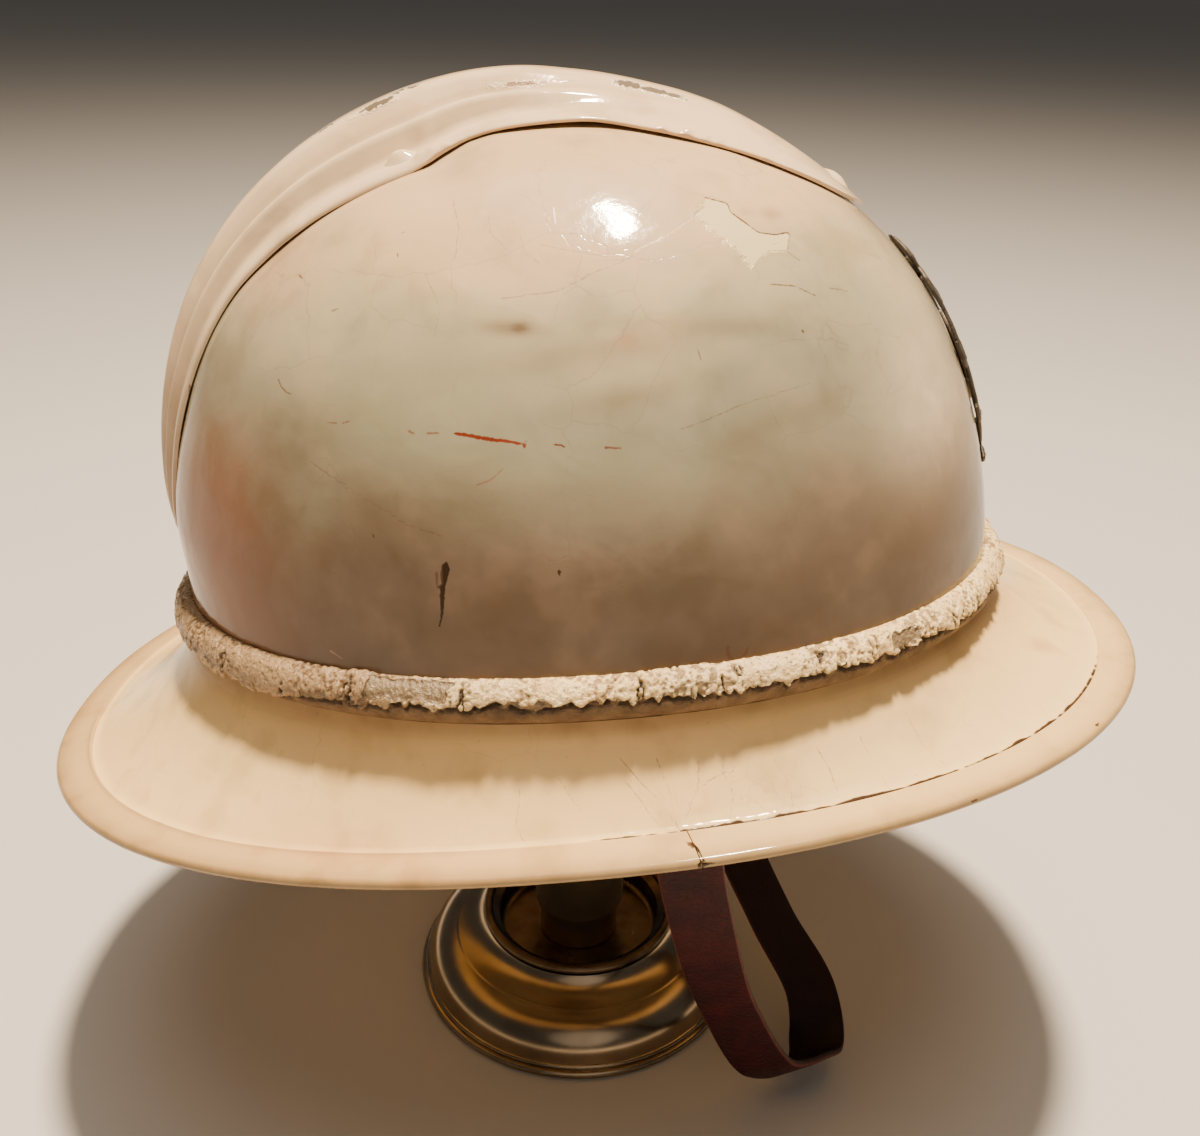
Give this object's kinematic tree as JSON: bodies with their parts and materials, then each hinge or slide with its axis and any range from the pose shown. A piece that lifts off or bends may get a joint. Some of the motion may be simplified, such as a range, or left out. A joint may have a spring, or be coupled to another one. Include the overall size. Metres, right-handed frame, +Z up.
{
  "type": "adrian helmet on a brass stand",
  "caption": "Cream-painted steel adrian helmet with a ribbed crest, corded welt, wreath badge and leather chin strap, leaning on a round brass display stand.",
  "frame": {"origin": "centre of the stand foot's flat underside, on the surface it stands on", "axes": "+X forwards, the way the helmet faces; +Y to its left; +Z up"},
  "size_m": [0.2976, 0.2254, 0.279],
  "materials": {
    "cream_paint": "aged glossy cream enamel on steel sheet, hairline crackle, rubbed patches and brown grime low down",
    "rim_paint": "thick yellowed cream enamel over the folded binding, cracked along its inner edge",
    "welt_cover": "tan leather over a cord, with pebbled cream paint flaking off its upper side",
    "badge_metal": "cast openwork with worn grey plating, dark in its hollows",
    "steel_wire": "dull oxidised steel wire",
    "strap_leather": "oxblood leather, smooth outer face, paler cut edges",
    "aged_brass": "polished brass gone warm and brown, bright on its beads"
  },
  "bodies": {
    "root": {"dome": "cream_paint", "visor": "cream_paint", "neck_guard": "cream_paint", "visor_binding": "rim_paint", "neck_binding": "rim_paint", "welt": "welt_cover", "crest": "cream_paint", "crest_rivet_right": "cream_paint", "crest_rivet_left": "cream_paint", "crest_rivet_front": "cream_paint", "crest_rivet_rear": "cream_paint", "badge": "badge_metal", "strap_bail_right": "steel_wire", "strap_bail_left": "steel_wire", "chin_strap": "strap_leather", "stand_foot": "aged_brass", "stand_dish": "aged_brass", "stand_column": "aged_brass", "stand_sleeve": "aged_brass", "stand_rest": "aged_brass"}
  },
  "joints": []
}
